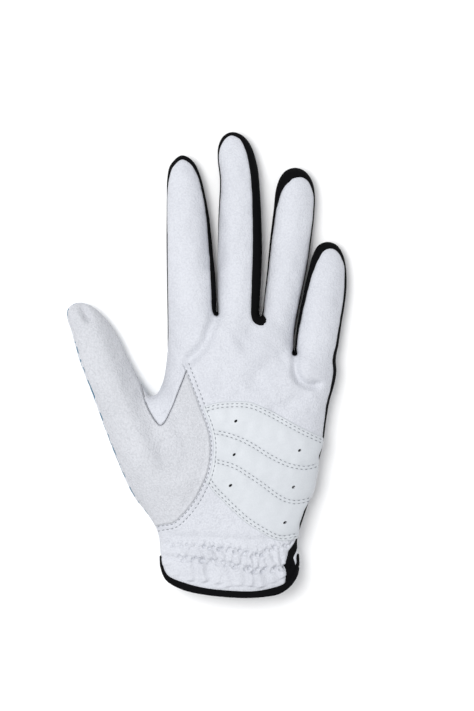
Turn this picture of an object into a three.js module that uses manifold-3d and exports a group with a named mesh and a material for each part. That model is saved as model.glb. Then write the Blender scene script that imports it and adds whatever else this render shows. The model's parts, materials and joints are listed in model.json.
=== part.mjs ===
// A left-hand golf glove lying on its back, palm up, filled out as a hand fills it.
// Millimetres. +Y points to the fingertips, +X to the little finger and +Z up, out of the palm.
// The origin is the middle of the glove's outline, on the surface that the glove lies on.
import * as THREE from 'three';
import { LoftGeometry } from 'three/addons/geometries/LoftGeometry.js';
import { mergeVertices } from 'three/addons/utils/BufferGeometryUtils.js';
import Module from 'manifold-3d';

const wasm = await Module();
wasm.setup();

// Driving dimensions
const LEATHER = 1.2; // wall: leather with its lining
const GAP = 0.3; // between neighbouring pieces
const FOLD_GAP = 0.6; // between two pieces that fold against each other
const SECTION_POWER = 2.6; // a section's corners: 2 is an ellipse, more is squarer
const WAIST = 0.42; // where a section is widest, as a share of its height
const FLATTEN = 1.4; // how far the underside is pressed flat by the surface
const FAR = 200; // longer than the glove

// Seams round the sides: the palm-side leather ends at the upper one and the back at the lower one.
// Both rise towards the wrist, as the hand lifts off the surface there.
const SEAMS = { front: 9.6, back: 4.6, frontAtWrist: 13.5, backAtWrist: 8.5, riseFrom: -37, riseTo: -60 };
const THUMB_SEAM = 8.5; // the thumb has one seam on each side and no side wall

// Each finger's own frame has its origin at the fold where it leaves the hand, and +Y along the
// finger. profile: [distance, half width, top height]. turn: how far the middle joint's fold is
// turned from square to the finger, so that bent fingers lie beside each other.
const FINGERS = {
  index: {
    fold: [-7.7, 27], tilt: 3.3, length: 73, knuckle: 28, turn: -5, root: -20,
    profile: [[-20, 11.2, 17.5], [0, 11.2, 16], [28, 10.6, 15.4], [56, 9.2, 14.6]],
  },
  middle: {
    fold: [15.2, 27], tilt: 0, length: 84.5, knuckle: 32, turn: -3.5, root: -24,
    profile: [[-24, 9.8, 17.5], [0, 10, 16], [32, 10, 15.4], [66, 9.3, 14.6]],
  },
  ring: {
    fold: [35.2, 22.5], tilt: -7.4, length: 72.3, knuckle: 27, turn: 3, root: -26,
    profile: [[-26, 9.1, 18], [0, 9, 16], [27, 9.3, 15.4], [56, 8.9, 14.4]],
  },
  little: {
    fold: [53.3, 9.5], tilt: -8.4, length: 49.6, knuckle: 19, turn: 2, root: -18,
    profile: [[-18, 9, 17.5], [0, 9.5, 16], [19, 9.4, 15.2], [34, 8.6, 14]],
  },
};
const THUMB = {
  fold: [-38.4, -21.3], tilt: 25.5, length: 56, knuckle: 27, root: -30,
  profile: [[-30, 15, 23.5], [-16, 15, 21.5], [0, 13.1, 19.5], [27, 10.6, 17.5], [42, 9.8, 16]],
};
const TIP_ANGLES = [0, 30, 52, 70, 83]; // the steps of a fingertip's rounding, in degrees
const TIP_BLUNTNESS = 0.75; // 1 is round, less is blunter
const TIP_DROP = 6; // how much lower the top of a finger's end is

const PALM_SIDES = 28; // corners of one of its sections

// The palm from the wrist to the knuckles: [left x, left y, right x, right y, underside, top].
const PALM = [
  [-22.3, -116, 43.6, -116, 4.1, 22],
  [-22.3, -93, 43.8, -93, 4.1, 22.6],
  [-22.8, -84, 43.2, -84, 4.1, 23],
  [-31, -69, 47.6, -69, 4.1, 24.4],
  [-40.5, -52, 52.4, -54, 3, 25.6],
  [-40, -37, 55.8, -39, 0, 25.6],
  [-30, -22, 58, -25, 0, 24.5],
  [-22, -6, 60.8, -12, 0, 21.5],
  [-19.3, 24, 61.6, -1, 0, 17],
];

// The cuff's edge is a flat-sided U, and a folded strip binds it.
// sideInset: how much less the cuff's line moves in at its sides than at its middle
const CUFF = { left: -23, right: 44.5, sideY: -91, drop: 20.5, roundness: 0.62, sideInset: 0.3, steps: 18 };
const BINDING_WIDTH = 3.4;
const BINDING_PROUD = 0.5;

// The thumb piece's seam, from the wrist across the palm to the index, and the diamond-shaped
// gusset between the thumb and the index.
const THUMB_SEAM_LINE = [
  [-27, -79], [-15.5, -75], [-7, -66], [-1.5, -55.5], [0.6, -42], [0.4, -29], [-2.5, -18], [-9.5, -3],
];
const CROTCH_OUTLINE = [
  [-22.3, -29.4], [-17, -21.7], [-10.2, -6.5], [-9.5, -1], [-13, 8], [-14.5, 40], [-60, 40], [-31, -10],
  [-27.5, -21],
];

// The smooth heel patch, quilted over a foam pad, with six vent holes.
const PATCH_OUTLINE = [
  [1.6, -21], [12.4, -19], [24, -20.8], [34, -25.8], [44.3, -31.5], [53, -36.5], [50.8, -48],
  [48, -60], [44.4, -72], [40.4, -82], [33, -82], [26.8, -79.3], [17, -72], [8, -63.5],
  [2.3, -55.5], [3.3, -50], [4.2, -41], [3.2, -33],
];
const PATCH_HOLES = [
  [13.9, -27.3], [43.8, -41.3], [12.9, -43.2], [40.8, -58.6], [11.3, -57.7], [36.8, -75.5],
];
const HOLE_RADIUS = 1.1;
const HOLE_SIDES = 12;
const PATCH_THICK = 0.9;
const PAD_THICK = 1;
const PAD_MARGIN = 3; // between the pad's edge and the patch's

// The elastic band inside the palm side of the wrist
const ELASTIC = { from: -99, to: -87, thick: 0.9, lowest: 15.5 };

// The opening in the back, and the hook-and-loop tab that closes it
const SLIT = { x: 20, halfWidth: 1.5, top: -54, edge: 2.2, depth: 12 };
const TAB = {
  hingeX: -3, hingeZ: 2.7, bendX: 18, endX: 41, low: -95, high: -68, thick: 1.2, rootLength: 12, corner: 9,
};
const FASTENER = { fromX: 24.2, toX: 37, low: -92.5, high: -70.5, thick: 1 };

// Materials
const paint = (color, roughness) => new THREE.MeshStandardMaterial({ color, roughness, metalness: 0 });
const leather = paint(0xe6e8ef, 0.6);
const patchLeather = paint(0xdfe3ea, 0.4);
const printedLeather = paint(0x9cc8e2, 0.65);
const stretchFabric = paint(0x121416, 0.85);
const elasticFabric = paint(0xd9d9d6, 0.9);
const foam = paint(0x1b1c1e, 0.95);
const hookTape = paint(0x202226, 0.8);
const loopTape = paint(0xf0f0f0, 0.95);

// Solids and meshes
function toSolid(geometry) {
  const bare = new THREE.BufferGeometry();
  bare.setAttribute('position', geometry.getAttribute('position'));
  bare.setIndex(geometry.getIndex());
  const merged = mergeVertices(bare, 1e-4);
  return new wasm.Manifold(new wasm.Mesh({
    numProp: 3,
    vertProperties: new Float32Array(merged.getAttribute('position').array),
    triVerts: new Uint32Array(merged.getIndex().array),
  }));
}

function toGeometry(solid) {
  const { vertProperties, triVerts } = solid.getMesh();
  const indexed = new THREE.BufferGeometry();
  indexed.setAttribute('position', new THREE.BufferAttribute(vertProperties, 3));
  indexed.setIndex(new THREE.BufferAttribute(triVerts, 1));
  const faceted = indexed.toNonIndexed();
  faceted.computeVertexNormals();
  return faceted;
}

// Adds a solid to a group. The solid is drawn in the frame that `frame` maps to the glove's, which
// is the glove's own frame if none is given.
function addPiece(group, name, solid, material, frame = new THREE.Matrix4()) {
  group.updateWorldMatrix(true, false);
  const geometry = toGeometry(solid).applyMatrix4(frame).applyMatrix4(group.matrixWorld.clone().invert());
  const mesh = new THREE.Mesh(geometry, material);
  mesh.name = name;
  group.add(mesh);
}

// A group whose origin is a hinge, turned about Z.
function hingeGroup(parent, x, y, z, degrees) {
  const group = new THREE.Group();
  group.position.set(x, y, z);
  group.rotation.z = THREE.MathUtils.degToRad(degrees);
  parent.add(group);
  return group;
}

// The frame at [x, y] on the surface, turned about Z.
function flatFrame(x, y, degrees) {
  return new THREE.Matrix4().makeRotationZ(THREE.MathUtils.degToRad(degrees)).setPosition(x, y, 0);
}

function prismGeometry(outline, low, high) {
  const shape = new THREE.Shape(outline.map(([x, y]) => new THREE.Vector2(x, y)));
  return new THREE.ExtrudeGeometry(shape, { depth: high - low, bevelEnabled: false }).translate(0, 0, low);
}

const prism = (outline, low = -FAR, high = FAR) => toSolid(prismGeometry(outline, low, high));

function blockGeometry(x0, x1, y0, y1, z0, z1) {
  const geometry = new THREE.BoxGeometry(x1 - x0, y1 - y0, z1 - z0);
  return geometry.translate((x0 + x1) / 2, (y0 + y1) / 2, (z0 + z1) / 2);
}

const block = (...sides) => toSolid(blockGeometry(...sides));
const rectangle = (x0, x1, y0, y1) => [[x0, y0], [x1, y0], [x1, y1], [x0, y1]];

// A [y, z] outline drawn out along X, across the whole glove.
function crossPrism(outline) {
  return toSolid(prismGeometry(outline, -FAR, FAR).applyMatrix4(new THREE.Matrix4().set(
    0, 0, 1, 0,
    1, 0, 0, 0,
    0, 1, 0, 0,
    0, 0, 0, 1,
  )));
}

// An outline, counter-clockwise, moved outwards by a distance.
function grow(outline, distance) {
  return outline.map(([x, y], i) => {
    const [beforeX, beforeY] = outline.at(i - 1);
    const [afterX, afterY] = outline[(i + 1) % outline.length];
    const inward = new THREE.Vector2(x - beforeX, y - beforeY).normalize();
    const outward = new THREE.Vector2(afterX - x, afterY - y).normalize();
    const along = inward.clone().add(outward).normalize();
    const stretch = distance / Math.max(along.dot(inward), 0.4);
    return [x + along.y * stretch, y - along.x * stretch];
  });
}

function smoothLine(points, count) {
  const curve = new THREE.CatmullRomCurve3(points.map(([x, y]) => new THREE.Vector3(x, y, 0)));
  return curve.getPoints(count).map(({ x, y }) => [x, y]);
}

// A section's ring from its left point over the top to its right point and back underneath.
// inset moves it inwards by a wall's thickness.
function ring(left, right, low, high, inset, count) {
  const middle = left.clone().add(right).multiplyScalar(0.5);
  const half = right.clone().sub(left).multiplyScalar(0.5);
  half.setLength(half.length() - inset);
  const waist = low + (high - low) * WAIST;
  const points = [];
  for (let i = 0; i < count; i++) {
    const angle = (2 * Math.PI * i) / count;
    const across = -Math.sign(Math.cos(angle)) * Math.abs(Math.cos(angle)) ** (2 / SECTION_POWER);
    const up = Math.sign(Math.sin(angle)) * Math.abs(Math.sin(angle)) ** (2 / SECTION_POWER);
    const rise = up > 0
      ? (high - inset - waist) * up
      : Math.max((waist - low) * FLATTEN * up, low + inset - waist);
    points.push(new THREE.Vector3(middle.x + half.x * across, middle.y + half.y * across, waist + rise));
  }
  return points;
}

function sizeAt(profile, y) {
  let i = 1;
  while (i < profile.length - 1 && profile[i][0] < y) i++;
  const [before, after] = [profile[i - 1], profile[i]];
  const share = THREE.MathUtils.clamp((y - before[0]) / (after[0] - before[0]), 0, 1);
  return [1, 2].map((k) => THREE.MathUtils.lerp(before[k], after[k], share));
}

// A finger's or the thumb's volume in its own frame, from its root to its tip or to a distance.
function limbGeometry(spec, inset, to = Infinity) {
  const { profile, root, length } = spec;
  const rings = profile.filter(([y]) => y < to);
  if (to === Infinity) {
    const [start, half, top] = rings.pop();
    for (const degrees of TIP_ANGLES) {
      const angle = THREE.MathUtils.degToRad(degrees);
      const shrink = Math.cos(angle) ** TIP_BLUNTNESS;
      const y = start + (length - start - inset) * Math.sin(angle);
      rings.push([y, (half - inset) * shrink + inset, top - TIP_DROP * (1 - shrink)]);
    }
  } else {
    rings.push([to, ...sizeAt(profile, to)]);
  }
  rings[0] = [root, ...sizeAt(profile, root)];
  const sections = rings.map(([y, half, top]) => ring(
    new THREE.Vector2(-half, y), new THREE.Vector2(half, y), 0, top, inset, 16,
  ));
  return new LoftGeometry(sections, { capStart: true, capEnd: true });
}

function stub(spec, inset, to) {
  const { fold: [x, y], tilt } = spec;
  return toSolid(limbGeometry(spec, inset, to).applyMatrix4(flatFrame(x, y, tilt)));
}

function palm(inset) {
  const sections = PALM.map(([leftX, leftY, rightX, rightY, low, high], i) => {
    const pull = i === PALM.length - 1 ? inset : 0;
    const left = new THREE.Vector2(leftX, leftY - pull);
    const right = new THREE.Vector2(rightX, rightY - pull);
    return ring(left, right, low, high, inset, PALM_SIDES);
  });
  return new LoftGeometry(sections, { capStart: true, capEnd: true });
}

// Everything above, below or between the seams; offset widens the seam's own gap.
function seamSlab(from, to) {
  const line = (seam, offset) => [
    [-FAR, SEAMS[`${seam}AtWrist`] + offset],
    [SEAMS.riseTo, SEAMS[`${seam}AtWrist`] + offset],
    [SEAMS.riseFrom, SEAMS[seam] + offset],
    [FAR, SEAMS[seam] + offset],
  ];
  const bottom = from ? line(from, GAP / 2) : [[-FAR, -FAR], [FAR, -FAR]];
  const top = to ? line(to, -GAP / 2) : [[-FAR, FAR], [FAR, FAR]];
  return crossPrism([...bottom, ...top.reverse()]);
}

const frontSlab = seamSlab('front', null);
const sideSlab = seamSlab('back', 'front');
const backSlab = seamSlab(null, 'back');
const belowFrontSlab = seamSlab(null, 'front');
const aboveBackSlab = seamSlab('back', null);

// Everything further up the wrist than the cuff's edge, moved up the wrist by `inset`.
function handwardOf(inset) {
  const { left, right, sideY, drop, roundness, steps } = CUFF;
  const points = [];
  for (let i = 0; i <= steps; i++) {
    const angle = Math.PI * (1 - i / steps);
    const x = (left + right) / 2 + ((right - left) / 2 - inset * CUFF.sideInset) * Math.cos(angle);
    points.push([x, sideY + inset - drop * Math.sin(angle) ** roundness]);
  }
  const side = sideY + inset;
  return prism([...points, [FAR, side], [FAR, FAR], [-FAR, FAR], [-FAR, side]]);
}

// The hand: one hollow shell, cut into its panels
const limbs = [...Object.values(FINGERS), THUMB];
const handOuter = limbs.reduce((solid, spec) => solid.add(stub(spec, 0, -FOLD_GAP / 2)), toSolid(palm(0)));
const stubSpaces = limbs.map((spec) => stub(spec, LEATHER, FOLD_GAP));
const handInner = stubSpaces.reduce((solid, space) => solid.add(space), toSolid(palm(LEATHER)));
const handShell = handOuter.subtract(handInner).intersect(handwardOf(BINDING_WIDTH + GAP));

// The slit's volume through the back only, widened by an edge on each side
function slitPrism(edge) {
  const { x, halfWidth, top } = SLIT;
  return block(x - halfWidth - edge, x + halfWidth + edge, -FAR, top + edge, -FAR, SLIT.depth);
}

// Where the hand is cut into panels: the top edge of the thumb's panel starts at a corner above its
// seam, the back turns up along the thumb's side below a line, and the little finger's side strip
// starts at an X on the wrist and runs past a shoulder below the finger.
const THUMB_SEAM_STEPS = 18;
const THUMB_PANEL_CORNER = [-30, 6];
const THUMB_SIDE = { right: -20, top: -22 };
const WEB_LOW = 0;
const OUTER_SIDE = { left: 41, shoulderLow: -30, shoulderHigh: -5 };

function addPanels(group) {
  const thumbOutline = [
    ...smoothLine(THUMB_SEAM_LINE, THUMB_SEAM_STEPS),
    THUMB_PANEL_CORNER, [-FAR, THUMB_PANEL_CORNER[1]], [-FAR, THUMB_SEAM_LINE[0][1]],
  ];
  const aroundCrotch = prism(grow(CROTCH_OUTLINE, GAP));
  const front = handShell.intersect(frontSlab);
  const palmPanel = front.subtract(prism(grow(thumbOutline, GAP))).subtract(aroundCrotch);
  addPiece(group, 'palm_panel', palmPanel, leather);
  const thumbPanel = front.intersect(prism(thumbOutline)).subtract(aroundCrotch);
  addPiece(group, 'thumb_base_panel', thumbPanel, leather);
  const crotch = handShell.intersect(aboveBackSlab).intersect(prism(CROTCH_OUTLINE));
  addPiece(group, 'crotch_gusset', crotch, leather);

  const thumbSide = handShell.intersect(belowFrontSlab)
    .intersect(prism(rectangle(-FAR, THUMB_SIDE.right, -FAR, THUMB_SIDE.top)));
  const back = handShell.intersect(backSlab).add(thumbSide);
  addPiece(group, 'back_panel', back.subtract(slitPrism(SLIT.edge + GAP)), printedLeather);
  const slitEdge = handShell.intersect(backSlab).intersect(slitPrism(SLIT.edge)).subtract(slitPrism(0));
  addPiece(group, 'slit_binding', slitEdge, stretchFabric);
}

// The side walls between the fingers, and along the little finger's edge of the hand
function addSideGussets(group) {
  const sides = handShell.intersect(sideSlab);
  const { index, middle, ring: ringFinger, little } = FINGERS;
  const web = (a, b) => sides.intersect(prism(rectangle(a.fold[0], b.fold[0], WEB_LOW, FAR)));
  addPiece(group, 'web_gusset_index_middle', web(index, middle), stretchFabric);
  addPiece(group, 'web_gusset_middle_ring', web(middle, ringFinger), stretchFabric);
  addPiece(group, 'web_gusset_ring_little', web(ringFinger, little), stretchFabric);
  const { left, shoulderLow, shoulderHigh } = OUTER_SIDE;
  const outerSide = prism([
    [left, -FAR], [FAR, -FAR], [FAR, FAR],
    [little.fold[0], FAR], [little.fold[0], shoulderHigh], [left, shoulderLow],
  ]);
  addPiece(group, 'side_gusset', sides.intersect(outerSide), stretchFabric);
}

// The palm's outside, raised by a height
const raisedPalm = (height) => toSolid(palm(0).translate(0, 0, height));

function addPatch(group) {
  const padOutline = grow(PATCH_OUTLINE, PAD_MARGIN);
  const holes = (radius) => PATCH_HOLES.reduce((solid, [x, y]) => {
    const hole = new THREE.CylinderGeometry(radius, radius, 2 * FAR, HOLE_SIDES).rotateX(Math.PI / 2);
    return solid.subtract(toSolid(hole.translate(x, y, 0)));
  }, prism(PATCH_OUTLINE));
  const padTop = GAP + PAD_THICK;
  const pad = raisedPalm(padTop).subtract(raisedPalm(GAP)).intersect(prism(padOutline));
  addPiece(group, 'palm_pad', pad, foam);
  const draped = (height) => raisedPalm(height)
    .add(raisedPalm(height + padTop).intersect(prism(grow(padOutline, -height))));
  const patch = draped(GAP + PATCH_THICK).subtract(draped(GAP)).intersect(holes(HOLE_RADIUS));
  addPiece(group, 'palm_patch', patch, patchLeather);
}

function addWrist(group) {
  const lining = LEATHER + GAP;
  const band = toSolid(palm(lining)).subtract(toSolid(palm(lining + ELASTIC.thick)))
    .intersect(block(-FAR, FAR, ELASTIC.from, ELASTIC.to, ELASTIC.lowest, FAR));
  addPiece(group, 'wrist_elastic', band, elasticFabric);
  const folded = toSolid(palm(-BINDING_PROUD)).subtract(toSolid(palm(LEATHER + BINDING_PROUD)))
    .intersect(handwardOf(0)).subtract(handwardOf(BINDING_WIDTH)).subtract(slitPrism(0));
  addPiece(group, 'cuff_binding', folded, stretchFabric);
}

// The tab's end runs along the surface, pressed against the back of the hand.
function addClosure(group) {
  const { hingeX, hingeZ, bendX, endX, low, high, thick, rootLength, corner } = TAB;
  const root = block(hingeX - rootLength, hingeX - GAP, low, high, hingeZ, hingeZ + thick - GAP / 2);
  addPiece(group, 'tab_root', root, leather);
  const { fromX, toX, low: tapeLow, high: tapeHigh, thick: tape } = FASTENER;
  const loopZ = thick + GAP + tape + GAP;
  addPiece(group, 'loop_tape', block(fromX + 1, toX, tapeLow, tapeHigh, loopZ, loopZ + tape), loopTape);

  const flap = hingeGroup(group, hingeX, 0, hingeZ, 0);
  const side = new THREE.Shape([
    [hingeX, hingeZ], [bendX, 0], [endX, 0], [endX, thick], [bendX, thick], [hingeX, hingeZ + thick],
  ].map(([x, z]) => new THREE.Vector2(x, z)));
  const strip = new THREE.ExtrudeGeometry(side, { depth: high - low, bevelEnabled: false });
  const outline = new THREE.Shape();
  outline.moveTo(hingeX, low);
  outline.lineTo(endX - corner, low);
  outline.absarc(endX - corner, low + corner, corner, -Math.PI / 2, 0);
  outline.absarc(endX - corner, high - corner, corner, 0, Math.PI / 2);
  outline.lineTo(hingeX, high);
  const rounded = prism(outline.getPoints(4).map(({ x, y }) => [x, y]));
  const laid = toSolid(strip.rotateX(Math.PI / 2).translate(0, high, 0));
  addPiece(flap, 'closure_tab', laid.intersect(rounded), leather);
  const hookZ = thick + GAP;
  addPiece(flap, 'hook_tape', block(fromX, toX - 1, tapeLow, tapeHigh, hookZ, hookZ + tape), hookTape);
}

// A finger: the part up to the middle joint, and the part past it, each a shell of panels. The
// little panels on the sides join the palm-side leather to the back.
function addFinger(group, name, spec) {
  const { fold: [x, y], tilt, knuckle, turn, profile } = spec;
  const frame = flatFrame(x, y, tilt);
  const shell = toSolid(limbGeometry(spec, 0)).subtract(toSolid(limbGeometry(spec, LEATHER)));
  const cut = (offset) => toSolid(
    blockGeometry(-FAR, FAR, offset, FAR, -FAR, FAR).applyMatrix4(flatFrame(0, knuckle, turn)),
  );
  const half = FOLD_GAP / 2;
  const lower = shell.intersect(block(-FAR, FAR, half, FAR, -FAR, FAR)).subtract(cut(-half));
  const upper = shell.intersect(cut(half));

  const base = hingeGroup(group, x, y, sizeAt(profile, 0)[1], tilt);
  addPiece(base, `${name}_lower_front`, lower.intersect(frontSlab), leather, frame);
  addPiece(base, `${name}_lower_back`, lower.intersect(backSlab), printedLeather, frame);
  const walls = lower.intersect(sideSlab);
  const thumbSide = walls.intersect(block(-FAR, 0, -FAR, FAR, -FAR, FAR));
  const outerSide = walls.intersect(block(0, FAR, -FAR, FAR, -FAR, FAR));
  addPiece(base, `${name}_gusset_thumb_side`, thumbSide, stretchFabric, frame);
  addPiece(base, `${name}_gusset_outer_side`, outerSide, stretchFabric, frame);

  const tip = hingeGroup(base, 0, knuckle, sizeAt(profile, knuckle)[1] - sizeAt(profile, 0)[1], turn);
  addPiece(tip, `${name}_tip_front`, upper.intersect(frontSlab), leather, frame);
  addPiece(tip, `${name}_tip_back`, upper.intersect(backSlab), printedLeather, frame);
  addPiece(tip, `${name}_tip_gusset`, upper.intersect(sideSlab), stretchFabric, frame);
}

// The thumb has a front and a back only, joined by one seam on each side.
function addThumb(group) {
  const { fold: [x, y], tilt, knuckle, profile } = THUMB;
  const frame = flatFrame(x, y, tilt);
  const shell = toSolid(limbGeometry(THUMB, 0)).subtract(toSolid(limbGeometry(THUMB, LEATHER)));
  const slice = (from, to) => shell.intersect(block(-FAR, FAR, from, to, -FAR, FAR));
  const front = block(-FAR, FAR, -FAR, FAR, THUMB_SEAM + GAP / 2, FAR);
  const back = block(-FAR, FAR, -FAR, FAR, -FAR, THUMB_SEAM - GAP / 2);
  const half = FOLD_GAP / 2;
  const base = hingeGroup(group, x, y, sizeAt(profile, 0)[1], tilt);
  const lower = slice(half, knuckle - half);
  addPiece(base, 'thumb_lower_front', lower.intersect(front), leather, frame);
  addPiece(base, 'thumb_lower_back', lower.intersect(back), printedLeather, frame);
  const tip = hingeGroup(base, 0, knuckle, sizeAt(profile, knuckle)[1] - sizeAt(profile, 0)[1], 0);
  const upper = slice(knuckle + half, FAR);
  addPiece(tip, 'thumb_tip_front', upper.intersect(front), leather, frame);
  addPiece(tip, 'thumb_tip_back', upper.intersect(back), printedLeather, frame);
}

const glove = new THREE.Group();
addPanels(glove);
addSideGussets(glove);
addPatch(glove);
addWrist(glove);
addClosure(glove);
for (const [name, spec] of Object.entries(FINGERS)) addFinger(glove, name, spec);
addThumb(glove);

export default glove;
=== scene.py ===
# A left-hand golf glove lying palm up, built as one smooth skin that is then cut into its panels.
# The shape is worked out in millimetres and turned into metres when a mesh is made.
import json
import math

import bpy
import numpy as np
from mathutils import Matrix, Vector
from mathutils.bvhtree import BVHTree


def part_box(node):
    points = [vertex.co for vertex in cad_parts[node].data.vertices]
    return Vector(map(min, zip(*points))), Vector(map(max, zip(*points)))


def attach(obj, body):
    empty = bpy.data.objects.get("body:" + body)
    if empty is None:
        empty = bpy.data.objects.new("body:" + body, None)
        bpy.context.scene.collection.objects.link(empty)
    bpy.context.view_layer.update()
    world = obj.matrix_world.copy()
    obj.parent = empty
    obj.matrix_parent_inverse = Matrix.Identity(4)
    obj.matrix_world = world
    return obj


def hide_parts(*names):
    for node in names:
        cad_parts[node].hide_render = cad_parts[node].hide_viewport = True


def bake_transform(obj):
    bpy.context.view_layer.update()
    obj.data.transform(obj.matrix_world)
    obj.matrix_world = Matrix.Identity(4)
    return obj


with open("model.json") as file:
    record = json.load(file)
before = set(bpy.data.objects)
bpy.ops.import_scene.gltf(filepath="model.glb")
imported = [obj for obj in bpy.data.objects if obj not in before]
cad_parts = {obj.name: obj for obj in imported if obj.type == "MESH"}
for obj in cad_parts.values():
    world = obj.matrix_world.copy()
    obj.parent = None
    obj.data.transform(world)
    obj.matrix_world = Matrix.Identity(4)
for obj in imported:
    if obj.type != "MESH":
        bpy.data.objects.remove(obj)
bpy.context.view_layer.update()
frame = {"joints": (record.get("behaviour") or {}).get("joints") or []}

MM = 0.001
rng = np.random.default_rng(7)

# ---- the outline, seen from above
# Each point: x, y, then how far in from the silhouette the seams run, first the seam below the
# palm-side leather and then the one above the back, which is UNDER where it isn't given. Below 0 a
# seam is under the widest line. Round the thumb the two agree, so there is no black side wall.
HIDDEN = -0.6
UNDER = -5.0
THUMB_OUTLINE = [
    (-22.3, -150, -0.5), (-22.3, -108, -0.5), (-22.4, -92, -0.5), (-23.6, -81, -0.5), (-28, -73, -0.2),
    (-35.5, -63.1, 0.4), (-42.7, -47.5, 0.4), (-47.3, -36, 0.4), (-54.6, -16, 0.5), (-61, 0.6, 0.5),
    (-65.4, 15.5, 0.3), (-67.7, 23, 0.5), (-66.6, 27.2, 0.5), (-62.2, 29.4, 0.2), (-56.4, 28.3, -0.5),
    (-50.2, 23.2, -0.8), (-44.2, 15.3, -0.8), (-37.2, 0.6, -0.8), (-31.2, -10.2, -0.8),
    (-27.6, -15.4, -0.8), (-24.4, -14.8, -0.8), (-21.3, -9, -0.8), (-19.7, -0.5, -0.8),
]
FINGER_OUTLINE = [
    (-19.1, 12, 0.1, -2), (-19.3, 35, 0.15), (-19.6, 60, 0.25), (-19.5, 80, -0.2), (-19.1, 90, 0.8),
    (-17.6, 95.6, 1.5), (-12.3, 100.2, 2.1), (-7, 97.6, 1.7), (-3.3, 90.5, 0.9), (-0.9, 81, 0.8),
    (1.2, 69, 1.1), (2.9, 52, 1.5), (4, 40, 2), (4.35, 30, 1.8), (4.3, 25, 1.3), (4.6, 24, 1),
    (4.95, 25, 0), (5, 32, HIDDEN), (4.9, 50, HIDDEN), (5.4, 72, 0.1), (6.1, 88, 0.3),
    (5, 99, 0.2), (5.5, 105, 1), (8, 109.6, 1.6), (12.2, 111.4, 1.8), (17, 109.8, 2.2),
    (21, 105, 3.2), (24.2, 95, 3.8), (25.5, 82, 3.8), (26.3, 64, 4.2), (26.4, 50, 4.4),
    (25.8, 38, 4.2), (25.3, 28, 3.9), (25.2, 23.6, 3.9), (25.8, 22.6, 4.3), (26.4, 23.6, 0.3),
    (27.3, 31, 0), (28.8, 44, 0.3), (30.2, 59, 0.6), (32, 74, 0.9), (33.2, 84, 3),
    (35.2, 89.6, 5), (38.2, 93, 5.2), (42.4, 94.2, 5.2), (46.6, 92.9, 4.2), (50.1, 88.8, 1.9),
    (51.9, 82, 0.6), (51.6, 71, 0.4), (50.3, 60, 0.5), (49, 51, 0.1), (47.6, 43, 0.1), (45.5, 33, 0.1),
    (43.7, 24, 0.2), (42.2, 15, 0.1), (41.6, 7.4, HIDDEN), (41.9, 5.2, 1.2), (42.25, 7.2, 0.3),
    (42.9, 15, 0.7), (44.4, 24, 1), (46.2, 33, 1.3), (48.4, 43, 1.8), (50.6, 51.5, 3.2),
    (53.6, 56.9, 3.8), (58, 58.5, 3.4), (62.4, 57, 2.4), (65.4, 52.4, 1.2), (66.8, 47, 0.5),
    (67.2, 38, 0.9), (66.2, 28, 0.9), (64.7, 19, 0.8), (63.2, 9, 1), (61.9, 2.2, 1.3),
    (62.2, -3.6, 1.5), (61.2, -10, 1.2), (58.9, -18, 0.9), (57.2, -28, 0.7), (55.8, -38.6, 0.4),
    (54.3, -44.5, 1), (52.7, -51, HIDDEN), (50.3, -62, HIDDEN), (47.4, -70.5, 1.3), (45.2, -77, 1.2),
    (43.8, -81.8, -0.2), (43.2, -85.6, 0.9, -3), (43.4, -89, 4.3, -0.2), (43.7, -92.5, 5.6, 2.2),
    (43.8, -96, 6.8, 1.2), (43.7, -99, 5.9, -2), (43.6, -108, 6.3), (43.6, -150, 6.3),
]

# ---- limbs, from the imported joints
JOINTS = {joint["name"]: joint for joint in frame["joints"]}
FOLD_Z = 8  # the height at which bends are measured


class Limb:
    """A finger or the thumb: where its folds are, and where its skin is cut into a lower piece and a tip.
    start is where it leaves the hand, past the fold, and the reaches, one for each fold, set where the
    tip begins."""

    def __init__(self, name, start, base_reach, middle_reach):
        base = JOINTS[f"{name}_base_bend"]
        middle = JOINTS["thumb_tip_bend" if name == "thumb" else f"{name}_middle_bend"]
        self.fold = np.array(base["pos_m"][:2]) / MM
        self.side = np.array(base["axis"][:2])
        self.along = np.array([-self.side[1], self.side[0]])
        self.knuckle = float((np.array(middle["pos_m"][:2]) / MM - self.fold) @ self.along)
        self.start = start
        self.base_reach = base_reach
        self.middle_reach = middle_reach
        self.split = (base_reach + self.knuckle - middle_reach) / 2

    def distance(self, x, y):
        """How far along the limb a point is, from its fold."""
        return (x - self.fold[0]) * self.along[0] + (y - self.fold[1]) * self.along[1]

    def point(self, distance):
        x, y = self.fold + self.along * distance
        return (x * MM, y * MM, FOLD_Z * MM)


LIMB_SPREADS = {
    "index": (-3.5, 10, 8), "middle": (-3.2, 11, 9), "ring": (-3.8, 10, 8), "little": (-2.2, 8, 7.5),
    "thumb": (0, 14, 8),
}
LIMBS = {name: Limb(name, *spreads) for name, spreads in LIMB_SPREADS.items()}
# The middles of the gaps between fingers, from the web upwards
GAPS = [
    [(4.3, -20), (4.3, 23), (4.3, 32), (4, 50), (3.5, 70), (2, 120)],
    [(25.9, -20), (25.9, 23), (26.3, 30), (27.3, 42), (28.3, 58), (28.8, 75), (29.5, 120)],
    [(41.9, -20), (41.9, 7), (42.8, 15), (44.2, 24), (46, 33), (48.1, 43), (49.8, 51), (51.6, 60),
     (62, 120)],
]
CROTCH = (-25.7, -15.4)


# ---- number helpers
def smoothstep(t):
    t = np.clip(t, 0, 1)
    return t * t * (3 - 2 * t)


def ramp(value, knots):
    """A smooth curve through (value, result) knots, level outside them."""
    result = np.full_like(np.asarray(value, float), knots[0][1])
    for (v0, r0), (v1, r1) in zip(knots, knots[1:]):
        result = result + (r1 - r0) * smoothstep((value - v0) / (v1 - v0))
    return result


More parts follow.
